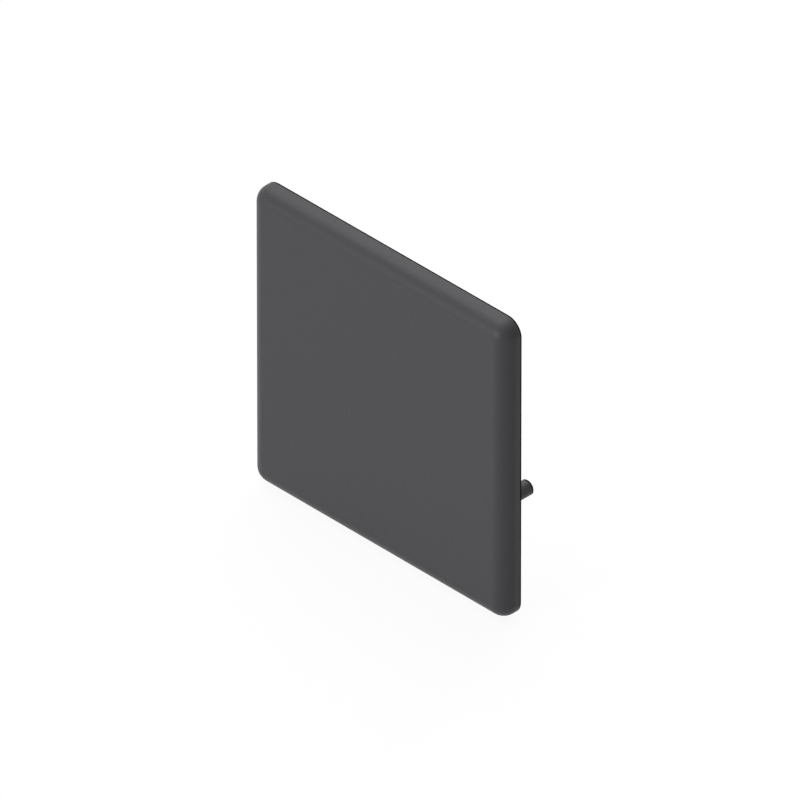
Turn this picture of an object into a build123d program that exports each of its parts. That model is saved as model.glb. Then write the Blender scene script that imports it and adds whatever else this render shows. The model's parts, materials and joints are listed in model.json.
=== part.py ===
from build123d import *

import os

# A square end cap for a 45 mm T-slot profile, in millimetres, moulded in one piece: a plate that
# covers the profile's cut end, and two thin pins that push into its slots.
#
# +X is the cap's right, seen from its visible front, and +Z is up. +Y runs from the front through
# the cap and along the pins. The origin is the middle of the seat, which is the plane that lies
# against the profile.

# The profile that the cap closes.
profile_width = 45.0
slot_lip = 4.5  # from the profile's side to the cavity behind the slot's mouth
slot_cavity_width = 20.0

# The plate.
plate_thickness = 3.0
corner_radius = 2.3
front_edge_radius = 2.2

# The pins. Each stands in a corner of a slot's cavity, close behind the lip.
pin_diameter = 2.15
pin_length = 7.0
pin_tip_break = 0.1
pin_lip_gap = 0.225
pin_side_gap = 0.025

# The cored back.
wall_thickness = 1.8
floor_fillet = 0.3
rib_thickness = 1.2
boss_diameter = 4.4
boss_below_seat = 0.3  # room for the fillet at the pin's root
boss_rib_below_seat = 0.5
witness_mark_diameter = 3.0
witness_mark_depth = 0.1

half_width = profile_width / 2
core_depth = plate_thickness - wall_thickness
core_width = profile_width - 2 * wall_thickness
core_corner_radius = corner_radius - wall_thickness
pin_x = half_width - slot_lip - pin_lip_gap - pin_diameter / 2
pin_z = slot_cavity_width / 2 - pin_side_gap - pin_diameter / 2
pin_places = [(pin_x, -pin_z), (-pin_x, pin_z)]
witness_mark_place = (core_width + rib_thickness) / 4

# The seat's plane. Its normal points to the front, so a negative amount runs along the pins.
seat = Plane.XZ
core_floor = seat.offset(core_depth)
boss_top = seat.offset(boss_below_seat)

with BuildPart() as end_cap:
    # Plate, rounded all along its front edge.
    with BuildSketch(seat):
        RectangleRounded(profile_width, profile_width, corner_radius)
    extrude(amount=plate_thickness)
    front_face = end_cap.faces().sort_by(Axis.Y)[0]
    fillet(front_face.edges(), radius=front_edge_radius)

    # Core, which leaves an even wall under the front and behind the rim.
    with BuildSketch(seat):
        RectangleRounded(core_width, core_width, core_corner_radius)
    extrude(amount=core_depth, mode=Mode.SUBTRACT)

    # Cross of ribs, level with the seat.
    with BuildSketch(core_floor):
        Rectangle(core_width, rib_thickness)
        Rectangle(rib_thickness, core_width)
    extrude(amount=-core_depth)

    # Boss under each pin.
    with BuildSketch(core_floor):
        with Locations(*pin_places):
            Circle(boss_diameter / 2)
    extrude(amount=-(core_depth - boss_below_seat))

    # Short rib from each boss to the rim beside it.
    rib_length = core_width / 2 - pin_x
    with BuildSketch(core_floor):
        with Locations((pin_x + rib_length / 2, -pin_z), (-pin_x - rib_length / 2, pin_z)):
            Rectangle(rib_length, rib_thickness)
    extrude(amount=-(core_depth - boss_rib_below_seat))

    # Fillet where the ribs, bosses and rim meet the core's floor.
    floor_edges = end_cap.edges().filter_by_position(Axis.Y, -core_depth, -core_depth)
    fillet(floor_edges, radius=floor_fillet)

    # Pins, with a fillet at the root and a broken edge at the tip.
    with BuildSketch(boss_top):
        with Locations(*pin_places):
            Circle(pin_diameter / 2)
    extrude(amount=-(boss_below_seat + pin_length))
    pin_circles = end_cap.edges().filter_by(GeomType.CIRCLE).filter_by(
        lambda edge: abs(edge.radius - pin_diameter / 2) < 0.001
    )
    pin_tips = pin_circles.group_by(Axis.Y)[-1]
    pin_roots = pin_circles.group_by(Axis.Y)[0]
    fillet(pin_roots, radius=boss_below_seat)
    chamfer(pin_tips, length=pin_tip_break)

    # Shallow round marks that the mould's ejectors leave on the core's floor.
    with BuildSketch(core_floor):
        with GridLocations(2 * witness_mark_place, 2 * witness_mark_place, 2, 2):
            Circle(witness_mark_diameter / 2)
    extrude(amount=witness_mark_depth, mode=Mode.SUBTRACT)

end_cap.part.label = "end_cap"

os.makedirs("parts", exist_ok=True)
export_step(end_cap.part, "parts/end_cap.step")
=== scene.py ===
"""Models the look of a moulded end cap for a T-slot profile, and a small studio round it."""

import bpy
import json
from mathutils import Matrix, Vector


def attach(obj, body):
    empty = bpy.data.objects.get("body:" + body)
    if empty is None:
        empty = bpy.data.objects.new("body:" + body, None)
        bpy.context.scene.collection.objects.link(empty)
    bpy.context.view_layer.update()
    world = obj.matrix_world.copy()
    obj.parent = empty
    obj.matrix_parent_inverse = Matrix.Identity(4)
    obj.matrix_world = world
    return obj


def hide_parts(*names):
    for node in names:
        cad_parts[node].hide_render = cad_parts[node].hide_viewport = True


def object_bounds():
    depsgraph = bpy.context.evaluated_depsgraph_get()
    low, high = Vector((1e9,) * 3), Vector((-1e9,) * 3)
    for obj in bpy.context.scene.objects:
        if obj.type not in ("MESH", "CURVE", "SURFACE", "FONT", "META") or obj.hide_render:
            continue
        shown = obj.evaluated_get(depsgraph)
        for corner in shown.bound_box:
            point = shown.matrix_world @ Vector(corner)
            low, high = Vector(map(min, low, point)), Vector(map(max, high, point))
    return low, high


bl_info = {
    "name": "Profile End Cap",
    "version": (1, 0, 0),
    "blender": (4, 5, 0),
    "location": "View3D > Sidebar > End Cap",
    "description": "Models a moulded end cap for a T-slot profile and lights it in a small studio",
    "category": "Object",
}

import json
import math

import bmesh
import bpy
from bpy.props import FloatProperty, FloatVectorProperty, IntProperty, PointerProperty
from mathutils import Vector

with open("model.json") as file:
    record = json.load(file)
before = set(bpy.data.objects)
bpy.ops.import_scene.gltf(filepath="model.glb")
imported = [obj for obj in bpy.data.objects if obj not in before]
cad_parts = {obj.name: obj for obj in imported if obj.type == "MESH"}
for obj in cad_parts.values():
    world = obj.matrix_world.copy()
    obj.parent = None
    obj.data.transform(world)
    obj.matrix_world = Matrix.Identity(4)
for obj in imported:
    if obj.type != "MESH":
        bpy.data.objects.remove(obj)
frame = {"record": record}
cad_low, cad_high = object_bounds()

# The cap lies in the frame of the CAD part: its front faces -Y, its seat is the plane y = 0, and
# its pins stand along +Y. All lengths are in metres.
MM = 0.001
NODE = "end_cap"
PINS = [mount for mount in frame["record"]["mounts"] if mount["kind"] == "pin"]

HALF_WIDTH = cad_high.x
FRONT = cad_low.y
SEAT = 0.0
PIN_END = cad_high.y
PIN_RADIUS = PINS[0]["dims"]["r_mm"] * MM
PIN_PLACES = [Vector((pin["pos_m"][0], 0, pin["pos_m"][2])) for pin in PINS]

NEAR = 0.01 * MM  # two places nearer than this are the same
DOUBLE = 0.001 * MM  # two corners nearer than this are merged
SQUARE_ON = math.radians(60)  # edges that turn by more than this have a sharp corner
ALONG_PIN = 0.9  # a face whose normal has more of +Y than this faces along the pins
FLAT = math.radians(1)  # faces that turn by less than this are one flat face
BREAK_STEPS = 2  # facets across an edge break
TIP_STEPS = 1  # facets across a pin's broken tip, which is a plain chamfer
LARGE_FACES_FIRST = 100  # lets the largest face at a corner settle its normal

BACK_SLOT = 1  # where the smooth plastic stands in the cap's list of materials
PAINTED_SHADE_SLOT = 2  # and where the near-black plastic of the painted shade band stands
DIMPLE_SMOOTHNESS = 0.6  # how softly one dimple runs into the next
RIPPLE_DETAIL = 2
CLOUD_DETAIL = 4

FLOOR_WIDTH = 4
FLOOR_GLOW = 1.06  # makes up for the part of the floor that shows the shadow
LENS = 1600  # in millimetres, long enough for the perspective to hardly show
AIM = Vector((0.788, -0.408, 0)) * MM  # where the camera points, from the origin, across and up


# ---- Settings ----


class CapSizes(bpy.types.PropertyGroup):
    """Sizes of the moulding that its frame does not give."""

    corner_radius: FloatProperty(
        name="Corner Radius",
        description="Radius of the plate's four corners, seen from the front",
        default=2.3 * MM,
        unit="LENGTH",
    )
    front_edge_radius: FloatProperty(
        name="Front Edge Radius",
        description="Radius that rounds the plate's front edge, all the way round",
        default=2.2 * MM,
        unit="LENGTH",
    )
    wall: FloatProperty(
        name="Wall",
        description="Thickness of the front wall and of the rim round the back",
        default=1.8 * MM,
        unit="LENGTH",
    )
    rib: FloatProperty(
        name="Rib",
        description="Thickness of the ribs on the back",
        default=1.2 * MM,
        unit="LENGTH",
    )
    floor_fillet: FloatProperty(
        name="Floor Fillet",
        description="Radius where the rim, ribs and bosses meet the floor of the core",
        default=0.3 * MM,
        unit="LENGTH",
    )
    boss_radius: FloatProperty(
        name="Boss Radius",
        description="Radius of the round boss that carries each pin",
        default=2.2 * MM,
        unit="LENGTH",
    )
    boss_below_seat: FloatProperty(
        name="Boss Below Seat",
        description="How far the bosses stay below the seat, and the radius at each pin's root",
        default=0.3 * MM,
        unit="LENGTH",
    )
    boss_rib_below_seat: FloatProperty(
        name="Boss Rib Below Seat",
        description="How far the short ribs beside the bosses stay below the seat",
        default=0.5 * MM,
        unit="LENGTH",
    )
    pin_tip_break: FloatProperty(
        name="Pin Tip Break",
        description="Width of the broken edge at the tip of each pin",
        default=0.1 * MM,
        unit="LENGTH",
    )
    witness_radius: FloatProperty(
        name="Witness Mark Radius",
        description="Radius of the round marks that the mould's ejectors leave",
        default=1.5 * MM,
        unit="LENGTH",
    )
    witness_depth: FloatProperty(
        name="Witness Mark Depth",
        description="Depth of the ejectors' marks below the floor of the core",
        default=0.1 * MM,
        unit="LENGTH",
    )
    # Painted shade: a near-black band along the seat's outer edge and round the pins' tips gives
    # them a dark line.
    painted_shade_band: FloatProperty(
        name="Dull Band",
        description="Width of the dull band at the seat's outer edge and at the tips of the pins",
        default=0.22 * MM,
        unit="LENGTH",
    )
    edge_break: FloatProperty(
        name="Edge Break",
        description="Tiny rounding that every moulded edge has",
        default=0.05 * MM,
        unit="LENGTH",
    )
    arc_steps: IntProperty(
        name="Arc Steps",
        description="Number of facets on each quarter of a rounded edge",
        default=16,
        min=4,
        max=48,
    )
    circle_steps: IntProperty(
        name="Circle Steps",
        description="Number of facets round each pin and boss",
        default=48,
        min=16,
        max=256,
    )


class CapFinish(bpy.types.PropertyGroup):
    """Colour and surface of the plastic."""

    colour: FloatVectorProperty(
        name="Colour",
        description="Colour of the through-dyed plastic",
        default=(0.0567, 0.0549, 0.0598),
        subtype="COLOR",
        min=0,
        max=1,
    )
    # Painted shade: the near-black colour of that band.
    painted_shade_colour: FloatVectorProperty(
        name="Band Colour",
        description="Colour of the thin dull band at the seat's edge and the pins' tips",
        default=(0.004, 0.004, 0.004),
        subtype="COLOR",
        min=0,
        max=1,
    )
    cloud_size: FloatProperty(
        name="Cloud Size",
        description="Width of the faint clouds in the colour and gloss",
        default=6 * MM,
        unit="LENGTH",
    )
    colour_spread: FloatProperty(
        name="Colour Spread",
        description="Share by which the clouds darken and lighten the colour",
        default=0.06,
        subtype="FACTOR",
        min=0,
        max=1,
    )
    grain_size: FloatProperty(
        name="Grain Size",
        description="Width of the dimples that the spark-eroded mould prints on the plastic",
        default=0.33 * MM,
        unit="LENGTH",
    )
    grain_depth: FloatProperty(
        name="Grain Depth",
        description="Depth of the dimples on the visible side",
        default=0.016 * MM,
        unit="LENGTH",
    )
    back_grain_depth: FloatProperty(
        name="Back Grain Depth",
        description="Depth of the dimples on the back, where the mould is smoother",
        default=0.003 * MM,
        unit="LENGTH",
    )
    specular: FloatProperty(
        name="Specular",
        description="Strength of the plastic's reflections",
        default=0.3,
        subtype="FACTOR",
        min=0,
        max=1,
    )
    roughness: FloatProperty(
        name="Roughness",
        description="Roughness of the visible side",
        default=0.5,
        subtype="FACTOR",
        min=0,
        max=1,
    )
    back_roughness: FloatProperty(
        name="Back Roughness",
        description="Roughness of the back and of the pins",
        default=0.42,
        subtype="FACTOR",
        min=0,
        max=1,
    )
    # Roughness of the painted shade band, which has no specular and so stays dark.
    band_roughness: FloatProperty(
        name="Band Roughness",
        description="Roughness of the thin dull band",
        default=0.9,
        subtype="FACTOR",
        min=0,
        max=1,
    )
    roughness_spread: FloatProperty(
        name="Roughness Spread",
        description="How far the clouds lower and raise the roughness",
        default=0.05,
        subtype="FACTOR",
        min=0,
        max=1,
    )


class StudioSettings(bpy.types.PropertyGroup):
    """Light, floor and camera."""

    front_power: FloatProperty(
        name="Front Light",
        description="Power of the soft light that stands low in front",
        default=3,
        unit="POWER",
    )
    rear_power: FloatProperty(
        name="Rear Light",
        description="Power of the soft light that stands low behind, and shows the ribs",
        default=2,
        unit="POWER",
    )
    top_power: FloatProperty(
        name="Top Light",
        description="Power of the large soft light high on the left",
        default=5.5,
        unit="POWER",
    )
    low_width: FloatProperty(
        name="Low Light Width",
        description="Width of the two low lights",
        default=200 * MM,
        unit="LENGTH",
    )
    low_height: FloatProperty(
        name="Low Light Height",
        description="Height of the two low lights",
        default=240 * MM,
        unit="LENGTH",
    )
    top_width: FloatProperty(
        name="Top Light Width",
        description="Width and height of the top light",
        default=800 * MM,
        unit="LENGTH",
    )
    lamp_distance: FloatProperty(
        name="Lamp Distance",
        description="Distance of the lights from the middle of the cap",
        default=800 * MM,
        unit="LENGTH",
    )
    sky: FloatProperty(
        name="Sky",
        description="Strength of the even white light from all round",
        default=0.02,
        min=0,
    )
    floor_colour: FloatVectorProperty(
        name="Floor Colour",
        description="Colour of the floor where the lights fall on it",
        default=(0.8, 0.8, 0.8),
        subtype="COLOR",
        min=0,
        max=1,
    )
    floor_white: FloatProperty(
        name="Floor White",
        description="How far the floor is seen as plain white. The rest of it shows the shadow",
        default=0.88,
        subtype="FACTOR",
        min=0,
        max=1,
    )
    camera_azimuth: FloatProperty(
        name="Camera Azimuth",
        description="Where the camera stands, from straight in front towards the cap's right",
        default=math.radians(45),
        subtype="ANGLE",
    )
    camera_elevation: FloatProperty(
        name="Camera Elevation",
        description="How high the camera stands. This one makes an isometric view",
        default=math.atan(math.sqrt(0.5)),
        subtype="ANGLE",
    )
    picture_width: FloatProperty(
        name="Picture Width",
        description="Width that the picture spans at the cap",
        default=99.85 * MM,
        unit="LENGTH",
    )


# ---- Modelling by hand ----


def select_only(piece):
    """Makes the piece the one selected and active object."""
    bpy.ops.object.select_all(action="DESELECT")
    piece.select_set(True)
    bpy.context.view_layer.objects.active = piece


def name_piece(name):
    """Names the newest object and its mesh, and moves its place, turn and scale into the mesh."""
    piece = bpy.context.object
    piece.name = name
    piece.data.name = name
    bpy.ops.object.transform_apply(location=True, rotation=True, scale=True)
    return piece


def add_block(name, low, high):
    """Adds a block that spans from one corner to the other."""
    bpy.ops.object.select_all(action="DESELECT")
    bpy.ops.mesh.primitive_cube_add(size=1, location=(low + high) / 2)
    bpy.context.object.scale = high - low
    return name_piece(name)


def add_rod(name, place, radius, start, end, steps):
    """Adds a round rod along Y through a place, from one depth to another."""
    bpy.ops.object.select_all(action="DESELECT")
    bpy.ops.mesh.primitive_cylinder_add(
        vertices=steps,
        radius=radius,
        depth=end - start,
        location=(place.x, (start + end) / 2, place.z),
        rotation=(math.radians(90), 0, 0),
    )
    return name_piece(name)


def pick(piece, kind, fits):
    """In edit mode, selects just the edges or faces that fit, and stops if there are none."""
    bpy.ops.mesh.select_mode(type=kind)
    bpy.ops.mesh.select_all(action="DESELECT")
    shape = bmesh.from_edit_mesh(piece.data)
    picked = [part for part in (shape.edges if kind == "EDGE" else shape.faces) if fits(part)]
    for part in picked:
        part.select_set(True)
    bmesh.update_edit_mesh(piece.data)
    if not picked:
        raise RuntimeError(f"{piece.name} has no {kind.lower()} to work on")


def at_depth(part, depth):
    """True if all of an edge or face lies at one depth along Y."""
    return all(abs(corner.co.y - depth) < NEAR for corner in part.verts)


def from_axis(corner, place):
    """How far a corner is from the axis of the pin at a place."""
    return math.hypot(corner.co.x - place.x, corner.co.z - place.z)


def round_edges(radius, steps):
    """Rounds the picked edges in edit mode."""
    bpy.ops.mesh.bevel(offset=radius, offset_type="OFFSET", segments=steps, affect="EDGES")


def mark_depth(depth):
    """Cuts a line right round the piece in edit mode, at one depth along Y."""
    bpy.ops.mesh.select_all(action="SELECT")
    bpy.ops.mesh.bisect(plane_co=(0, depth, 0), plane_no=(0, 1, 0))


def combine(piece, other, operation):
    """Fuses the other mesh with the piece, or cuts it out, and takes it away."""
    select_only(piece)
    bpy.ops.object.modifier_add(type="BOOLEAN")
    boolean = piece.modifiers[-1]
    boolean.operation = operation
    boolean.solver = "EXACT"
    boolean.object = other
    bpy.ops.object.modifier_apply(modifier=boolean.name)
    bpy.data.objects.remove(other)


# ---- The cap ----


def make_plate(sizes):
    """A square plate, with rounded corners and then a rounded front edge."""
    low = Vector((-HALF_WIDTH, FRONT, -HALF_WIDTH))
    high = Vector((HALF_WIDTH, SEAT, HALF_WIDTH))
    plate = add_block("end_cap_shell", low, high)
    bpy.ops.object.mode_set(mode="EDIT")
    pick(plate, "EDGE", lambda edge: abs(edge.verts[0].co.y - edge.verts[1].co.y) > NEAR)
    round_edges(sizes.corner_radius, sizes.arc_steps)
    pick(plate, "EDGE", lambda edge: at_depth(edge, FRONT))
    round_edges(sizes.front_edge_radius, sizes.arc_steps)
    # Cuts the line where the painted shade band at the seat's outer edge begins.
    mark_depth(SEAT - sizes.painted_shade_band)
    bpy.ops.object.mode_set(mode="OBJECT")
    return plate


def core_back(plate, sizes):
    """Sinks the back between the rim and a cross of ribs, and returns the floor's depth."""
    core = HALF_WIDTH - sizes.wall
    floor = FRONT + sizes.wall

    def in_core(face):
        middle = face.calc_center_median()
        return at_depth(face, SEAT) and max(abs(middle.x), abs(middle.z)) < core

    def between_ribs(face):
        middle = face.calc_center_median()
        return in_core(face) and min(abs(middle.x), abs(middle.z)) > sizes.rib / 2

    bpy.ops.object.mode_set(mode="EDIT")
    pick(plate, "FACE", lambda face: at_depth(face, SEAT))
    bpy.ops.mesh.inset(thickness=sizes.wall, use_even_offset=True)
    for normal in (Vector((1, 0, 0)), Vector((0, 0, 1))):
        for side in (-1, 1):
            pick(plate, "FACE", in_core)
            bpy.ops.mesh.bisect(plane_co=normal * side * sizes.rib / 2, plane_no=normal)
    pick(plate, "FACE", between_ribs)
    bpy.ops.mesh.extrude_region_move(TRANSFORM_OT_translate={"value": (0, floor - SEAT, 0)})
    pick(
        plate,
        "EDGE",
        lambda edge: at_depth(edge, SEAT) and edge.calc_face_angle_signed() > SQUARE_ON,
    )
    round_edges(sizes.edge_break, BREAK_STEPS)
    bpy.ops.object.mode_set(mode="OBJECT")
    return floor


def make_pin(sizes, place):
    """A pin on its boss: a short rod whose top is inset and drawn out, with its edges rounded."""
    boss_top = SEAT - sizes.boss_below_seat
    root = FRONT + sizes.wall / 2
    pin = add_rod("pin", place, sizes.boss_radius, root, boss_top, sizes.circle_steps)
    bpy.ops.object.mode_set(mode="EDIT")
    pick(pin, "FACE", lambda face: at_depth(face, boss_top))
    bpy.ops.mesh.inset(thickness=sizes.boss_radius - PIN_RADIUS, use_even_offset=True)
    bpy.ops.mesh.extrude_region_move(TRANSFORM_OT_translate={"value": (0, PIN_END - boss_top, 0)})
    middle = (sizes.boss_radius + PIN_RADIUS) / 2
    pick(
        pin,
        "EDGE",
        lambda edge: at_depth(edge, boss_top)
        and all(from_axis(corner, place) < middle for corner in edge.verts),
    )
    round_edges(sizes.boss_below_seat, sizes.arc_steps // 2)
    pick(
        pin,
        "EDGE",
        lambda edge: at_depth(edge, boss_top)
        and all(from_axis(corner, place) > sizes.boss_radius - NEAR for corner in edge.verts),
    )
    round_edges(sizes.edge_break, BREAK_STEPS)
    pick(pin, "EDGE", lambda edge: at_depth(edge, PIN_END))
    round_edges(sizes.pin_tip_break, TIP_STEPS)
    # Cuts the line where the painted shade band at the pin's tip begins.
    mark_depth(PIN_END - sizes.pin_tip_break - sizes.painted_shade_band)
    bpy.ops.object.mode_set(mode="OBJECT")
    return pin


def make_boss_rib(sizes, place):
    """The short rib that ties a boss to the rim beside it."""
    root = FRONT + sizes.wall / 2
    top = SEAT - sizes.boss_rib_below_seat
    rim = math.copysign(HALF_WIDTH - sizes.wall / 2, place.x)
    low = Vector((min(place.x, rim), root, place.z - sizes.rib / 2))
    high = Vector((max(place.x, rim), top, place.z + sizes.rib / 2))
    rib = add_block("boss_rib", low, high)
    bpy.ops.object.mode_set(mode="EDIT")
    pick(
        rib,
        "EDGE",
        lambda edge: at_depth(edge, top) and abs(edge.verts[0].co.x - edge.verts[1].co.x) > NEAR,
    )
    round_edges(sizes.edge_break, BREAK_STEPS)
    bpy.ops.object.mode_set(mode="OBJECT")
    return rib


def fillet_floor(plate, sizes, floor):
    """Rounds every inner edge at the floor of the core."""
    bpy.ops.object.mode_set(mode="EDIT")
    pick(plate, "FACE", lambda face: at_depth(face, floor))
    bpy.ops.mesh.dissolve_limited(angle_limit=FLAT)
    pick(
        plate,
        "EDGE",
        lambda edge: at_depth(edge, floor) and edge.calc_face_angle_signed() < -SQUARE_ON,
    )
    round_edges(sizes.floor_fillet, sizes.arc_steps // 4)
    bpy.ops.object.mode_set(mode="OBJECT")


def add_witness_marks(plate, sizes, floor):
    """Sinks the ejectors' round marks into the middle of each quarter of the floor."""
    middle = (HALF_WIDTH - sizes.wall + sizes.rib / 2) / 2
    bottom = floor - sizes.witness_depth
    for x in (-middle, middle):
        for z in (-middle, middle):
            place = Vector((x, 0, z))
            radius = sizes.witness_radius
            mark = add_rod("witness_mark", place, radius, bottom, SEAT, sizes.circle_steps)
            combine(plate, mark, "DIFFERENCE")


def shade(plate):
    """Merges corners that coincide, and shades the flats flat and the rounds round."""
    select_only(plate)
    bpy.ops.object.mode_set(mode="EDIT")
    bpy.ops.mesh.select_all(action="SELECT")
    bpy.ops.mesh.remove_doubles(threshold=DOUBLE)
    bpy.ops.object.mode_set(mode="OBJECT")
    bpy.ops.object.shade_smooth()
    bpy.ops.object.modifier_add(type="WEIGHTED_NORMAL")
    weighted = plate.modifiers[-1]
    weighted.weight = LARGE_FACES_FIRST
    bpy.ops.object.modifier_apply(modifier=weighted.name)


def check_closed(piece):
    """Stops the script if the piece has no mesh, or one that is open anywhere."""
    shape = bmesh.new()
    shape.from_mesh(piece.data)
    closed = bool(shape.faces) and all(edge.is_manifold for edge in shape.edges)
    shape.free()
    if not closed:
        raise RuntimeError(f"the mesh of {piece.name} is not closed")


# ---- The plastic ----


def grain_group():
    """A node group for plastic that a spark-eroded mould has printed: dimples and faint clouds."""
    group = bpy.data.node_groups.new("Moulded Grain", "ShaderNodeTree")
    for name in ("Grain Size", "Cloud Size"):
        group.interface.new_socket(name, in_out="INPUT", socket_type="NodeSocketFloat")
    for name in ("Height", "Clouds"):
        group.interface.new_socket(name, in_out="OUTPUT", socket_type="NodeSocketFloat")
    nodes, links = group.nodes, group.links
    inputs = nodes.new("NodeGroupInput")
    outputs = nodes.new("NodeGroupOutput")
    place = nodes.new("ShaderNodeTexCoord")

    def scale_for(size):
        """The scale of a pattern whose features have a size in metres."""
        scale = nodes.new("ShaderNodeMath")
        scale.operation = "DIVIDE"
        scale.inputs[0].default_value = 1
        links.new(inputs.outputs[size], scale.inputs[1])
        return scale.outputs[0]

    def add_pattern(kind, scale):
        """A pattern node on the piece's own coordinates."""
        pattern = nodes.new(kind)
        links.new(place.outputs["Object"], pattern.inputs["Vector"])
        links.new(scale, pattern.inputs["Scale"])
        return pattern

    grain_scale = scale_for("Grain Size")
    dimples = add_pattern("ShaderNodeTexVoronoi", grain_scale)
    dimples.feature = "SMOOTH_F1"
    dimples.inputs["Smoothness"].default_value = DIMPLE_SMOOTHNESS
    ripples = add_pattern("ShaderNodeTexNoise", grain_scale)
    ripples.inputs["Detail"].default_value = RIPPLE_DETAIL
    height = nodes.new("ShaderNodeMath")
    height.operation = "ADD"
    links.new(dimples.outputs["Distance"], height.inputs[0])
    links.new(ripples.outputs["Fac"], height.inputs[1])
    links.new(height.outputs[0], outputs.inputs["Height"])

    clouds = add_pattern("ShaderNodeTexNoise", scale_for("Cloud Size"))
    clouds.inputs["Detail"].default_value = CLOUD_DETAIL
    links.new(clouds.outputs["Fac"], outputs.inputs["Clouds"])
    return group


def make_plastic(name, group, finish, colour, specular, roughness, depth):
    """Moulded plastic with its own colour, gloss and depth of grain."""
    material = bpy.data.materials.new(name)
    material.use_nodes = True
    nodes, links = material.node_tree.nodes, material.node_tree.links
    shader = nodes["Principled BSDF"]
    shader.inputs["Specular IOR Level"].default_value = specular

    grain = nodes.new("ShaderNodeGroup")
    grain.node_tree = group
    grain.inputs["Grain Size"].default_value = finish.grain_size
    grain.inputs["Cloud Size"].default_value = finish.cloud_size

    tint = nodes.new("ShaderNodeMix")
    tint.data_type = "RGBA"
    for socket, share in (("A", 1 - finish.colour_spread), ("B", 1 + finish.colour_spread)):
        tint.inputs[socket].default_value = (*(part * share for part in colour), 1)
    links.new(grain.outputs["Clouds"], tint.inputs["Factor"])
    links.new(tint.outputs["Result"], shader.inputs["Base Color"])

    gloss = nodes.new("ShaderNodeMapRange")
    gloss.inputs["To Min"].default_value = roughness - finish.roughness_spread
    gloss.inputs["To Max"].default_value = roughness + finish.roughness_spread
    links.new(grain.outputs["Clouds"], gloss.inputs["Value"])
    links.new(gloss.outputs["Result"], shader.inputs["Roughness"])

    bump = nodes.new("ShaderNodeBump")
    bump.inputs["Distance"].default_value = depth
    links.new(grain.outputs["Height"], bump.inputs["Height"])
    links.new(bump.outputs["Normal"], shader.inputs["Normal"])
    return material


def paint(plate, sizes, finish):
    """Gives the visible side and the back with its pins their plastics, and paints a near-black
    band of shade along the seat's outer edge and round the pins' tips.
    """
    group = grain_group()
    body = finish.colour, finish.specular
    for name, colour, specular, roughness, depth in (
        ("grained_plastic", *body, finish.roughness, finish.grain_depth),
        ("smooth_plastic", *body, finish.back_roughness, finish.back_grain_depth),
        # The third plastic is near-black with no specular: painted shade that gives the seat's
        # outer edge and the pins' tips a dark line.
        ("painted_shade_plastic", finish.painted_shade_colour, 0, finish.band_roughness, finish.back_grain_depth),
    ):
        plastic = make_plastic(name, group, finish, colour, specular, roughness, depth)
        plate.data.materials.append(plastic)
    straight = HALF_WIDTH - sizes.corner_radius
    deepest = FRONT + sizes.wall - sizes.witness_depth - NEAR
    tip = PIN_END - sizes.pin_tip_break - sizes.painted_shade_band

    def is_inside(face):
        middle = face.calc_center_median()
        corner = Vector((
            max(abs(middle.x) - straight, 0),
            max(abs(middle.z) - straight, 0),
        ))
        return corner.length < sizes.corner_radius - sizes.edge_break

    def on_back(face):
        return face.calc_center_median().y > deepest and is_inside(face)

    # Faces of the painted shade band: round the pins' tips and along the seat's outer edge.
    def on_painted_shade_band(face):
        depth = face.calc_center_median().y
        at_tip = depth > tip and face.normal.y < ALONG_PIN
        return at_tip or (depth > SEAT - sizes.painted_shade_band and not is_inside(face))

    bpy.ops.object.mode_set(mode="EDIT")
    for slot, fits in ((BACK_SLOT, on_back), (PAINTED_SHADE_SLOT, on_painted_shade_band)):
        pick(plate, "FACE", fits)
        plate.active_material_index = slot
        bpy.ops.object.material_slot_assign()
    bpy.ops.object.mode_set(mode="OBJECT")


class ENDCAP_OT_model_cap(bpy.types.Operator):
    """Model the end cap and give it its plastic"""

    bl_idname = "endcap.model_cap"
    bl_label = "Model End Cap"
    bl_options = {"REGISTER", "UNDO"}

    def execute(self, context):
        sizes = context.scene.cap_sizes
        plate = make_plate(sizes)
        floor = core_back(plate, sizes)
        for place in PIN_PLACES:
            combine(plate, make_pin(sizes, place), "UNION")
            combine(plate, make_boss_rib(sizes, place), "UNION")
        fillet_floor(plate, sizes, floor)
        add_witness_marks(plate, sizes, floor)
        shade(plate)
        check_closed(plate)
        paint(plate, sizes, context.scene.cap_finish)
        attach(plate, "root")
        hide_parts(NODE)
        return {"FINISHED"}


# ---- The studio ----

# Where the soft lights stand: azimuth from straight in front towards +X, and elevation, in degrees.
FRONT_LIGHT = (350, 10)
REAR_LIGHT = (200, 10)
TOP_LIGHT = (247, 68)


def direction(azimuth, elevation):
    """The direction at an azimuth, from straight in front towards +X, and an elevation."""
    return Vector((
        math.sin(azimuth) * math.cos(elevation),
        -math.cos(azimuth) * math.cos(elevation),
        math.sin(elevation),
    ))


def surroundings_mask(tree):
    """A socket that is 1 for the rays that show the surroundings, straight or in a reflection."""
    path = tree.nodes.new("ShaderNodeLightPath")
    mask = path.outputs["Is Camera Ray"]
    for kind in ("Is Glossy Ray", "Is Transmission Ray"):
        either = tree.nodes.new("ShaderNodeMath")
        either.operation = "MAXIMUM"
        tree.links.new(mask, either.inputs[0])
        tree.links.new(path.outputs[kind], either.inputs[1])
        mask = either.outputs[0]
    return mask


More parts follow.
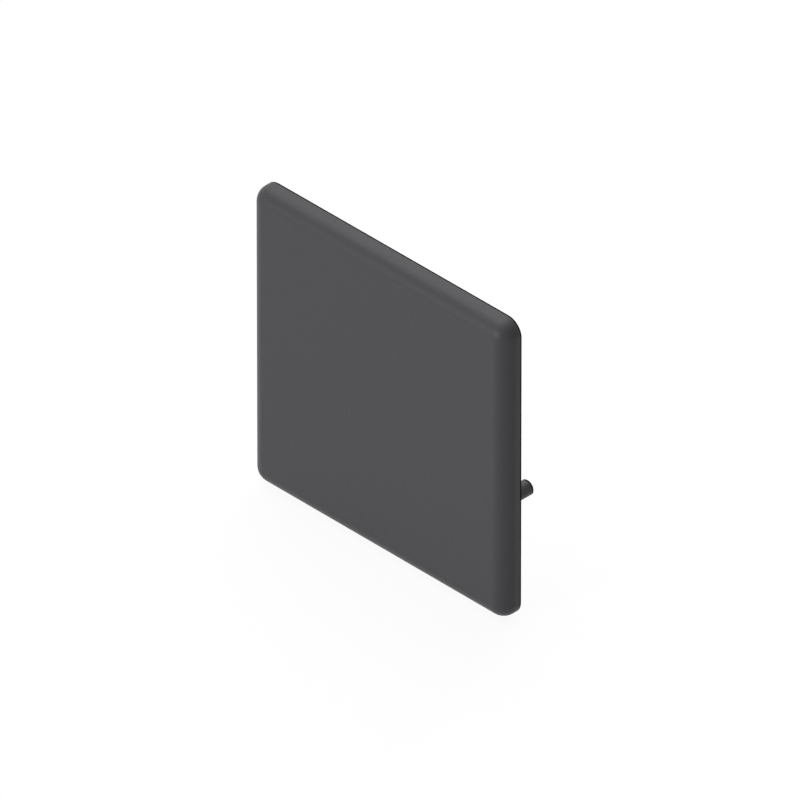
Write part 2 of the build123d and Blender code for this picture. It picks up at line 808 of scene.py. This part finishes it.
def add_floor(studio):
    """A wide pale floor under the cap, seen as nearly white, with a faint shadow."""
    bpy.ops.object.select_all(action="DESELECT")
    bpy.ops.mesh.primitive_plane_add(size=FLOOR_WIDTH, location=(0, 0, cad_low.z))
    floor = name_piece("floor")
    material = bpy.data.materials.new("pale_floor")
    material.use_nodes = True
    tree = material.node_tree
    tree.nodes.clear()
    matt = tree.nodes.new("ShaderNodeBsdfDiffuse")
    matt.inputs["Color"].default_value = (*studio.floor_colour, 1)
    white = tree.nodes.new("ShaderNodeEmission")
    white.inputs["Strength"].default_value = FLOOR_GLOW
    share = tree.nodes.new("ShaderNodeMath")
    share.operation = "MULTIPLY"
    share.inputs[1].default_value = studio.floor_white
    mix = tree.nodes.new("ShaderNodeMixShader")
    output = tree.nodes.new("ShaderNodeOutputMaterial")
    tree.links.new(surroundings_mask(tree), share.inputs[0])
    tree.links.new(share.outputs[0], mix.inputs["Fac"])
    tree.links.new(matt.outputs[0], mix.inputs[1])
    tree.links.new(white.outputs[0], mix.inputs[2])
    tree.links.new(mix.outputs[0], output.inputs["Surface"])
    floor.data.materials.append(material)


def add_sky(studio):
    """A faint even light from all round, which is seen as plain white."""
    world = bpy.data.worlds.new("white_studio")
    bpy.context.scene.world = world
    world.use_nodes = True
    tree = world.node_tree
    background = tree.nodes["Background"]
    background.inputs["Color"].default_value = (1, 1, 1, 1)
    strength = tree.nodes.new("ShaderNodeMapRange")
    strength.inputs["To Min"].default_value = studio.sky
    strength.inputs["To Max"].default_value = 1
    tree.links.new(surroundings_mask(tree), strength.inputs["Value"])
    tree.links.new(strength.outputs["Result"], background.inputs["Strength"])


def add_lamp(name, place, distance, size, power):
    """A soft light at a place round the cap, turned to face it."""
    towards = direction(*map(math.radians, place))
    bpy.ops.object.light_add(type="AREA", location=towards * distance)
    lamp = bpy.context.object
    lamp.name = name
    lamp.data.name = name
    lamp.data.shape = "RECTANGLE"
    lamp.data.size, lamp.data.size_y = size
    lamp.data.energy = power
    lamp.rotation_euler = (-towards).to_track_quat("-Z", "Y").to_euler()


def add_camera(studio):
    """A camera far away with a long lens, so that parallel edges stay all but parallel."""
    back = direction(studio.camera_azimuth, studio.camera_elevation)
    turn = (-back).to_track_quat("-Z", "Y")
    bpy.ops.object.camera_add()
    camera = bpy.context.object
    camera.data.lens = LENS
    distance = studio.picture_width * LENS / camera.data.sensor_width
    camera.location = turn @ AIM + back * distance
    camera.rotation_euler = turn.to_euler()
    camera.data.clip_end = distance + FLOOR_WIDTH
    bpy.context.scene.camera = camera


class ENDCAP_OT_set_stage(bpy.types.Operator):
    """Set up the floor, the lights and the camera"""

    bl_idname = "endcap.set_stage"
    bl_label = "Set Up Studio"
    bl_options = {"REGISTER", "UNDO"}

    def execute(self, context):
        studio = context.scene.cap_studio
        add_floor(studio)
        add_sky(studio)
        low = studio.low_width, studio.low_height
        top = studio.top_width, studio.top_width
        for name, place, size, power in (
            ("front_light", FRONT_LIGHT, low, studio.front_power),
            ("rear_light", REAR_LIGHT, low, studio.rear_power),
            ("top_light", TOP_LIGHT, top, studio.top_power),
        ):
            add_lamp(name, place, studio.lamp_distance, size, power)
        add_camera(studio)
        context.scene.view_settings.view_transform = "Standard"
        return {"FINISHED"}


class ENDCAP_PT_panel(bpy.types.Panel):
    """Lists the cap's operators, and the settings that each one reads"""

    bl_label = "Profile End Cap"
    bl_idname = "ENDCAP_PT_panel"
    bl_space_type = "VIEW_3D"
    bl_region_type = "UI"
    bl_category = "End Cap"

    def draw(self, context):
        scene = context.scene
        for operator, groups in (
            (ENDCAP_OT_model_cap, (scene.cap_sizes, scene.cap_finish)),
            (ENDCAP_OT_set_stage, (scene.cap_studio,)),
        ):
            box = self.layout.box()
            box.operator(operator.bl_idname)
            for group in groups:
                for setting in type(group).__annotations__:
                    box.prop(group, setting)


CLASSES = (
    CapSizes,
    CapFinish,
    StudioSettings,
    ENDCAP_OT_model_cap,
    ENDCAP_OT_set_stage,
    ENDCAP_PT_panel,
)


def register():
    """Registers the classes, and gives the scene their settings."""
    for cls in CLASSES:
        bpy.utils.register_class(cls)
    bpy.types.Scene.cap_sizes = PointerProperty(type=CapSizes)
    bpy.types.Scene.cap_finish = PointerProperty(type=CapFinish)
    bpy.types.Scene.cap_studio = PointerProperty(type=StudioSettings)


def unregister():
    """Takes the settings and the classes away again."""
    del bpy.types.Scene.cap_studio
    del bpy.types.Scene.cap_finish
    del bpy.types.Scene.cap_sizes
    for cls in reversed(CLASSES):
        bpy.utils.unregister_class(cls)


def main():
    """Models the cap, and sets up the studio."""
    register()
    bpy.ops.endcap.model_cap()
    bpy.ops.endcap.set_stage()


if __name__ == "__main__":
    main()
